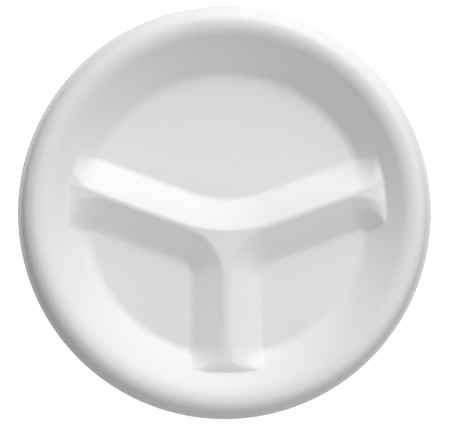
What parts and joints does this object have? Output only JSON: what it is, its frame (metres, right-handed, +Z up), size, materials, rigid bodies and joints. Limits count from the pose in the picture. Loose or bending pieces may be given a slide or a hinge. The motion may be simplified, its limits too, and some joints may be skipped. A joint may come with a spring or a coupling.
{
  "type": "divided compartment plate",
  "caption": "Round white foam plate with a sloping wall, rolled rim and low hollow ridges that part its floor into one large and two small compartments.",
  "frame": {"origin": "on the plate's axis, at the level of the floors' undersides, which is the table's", "axes": "+Z up along the plate's axis; +Y through the middle of the large compartment, so that the divider between the two small compartments runs along -Y; +X to the right as seen from above"},
  "size_m": [0.2286, 0.2286, 0.0236],
  "materials": {
    "foam": "satin"
  },
  "bodies": {
    "root": {"plate": "foam"}
  },
  "joints": []
}
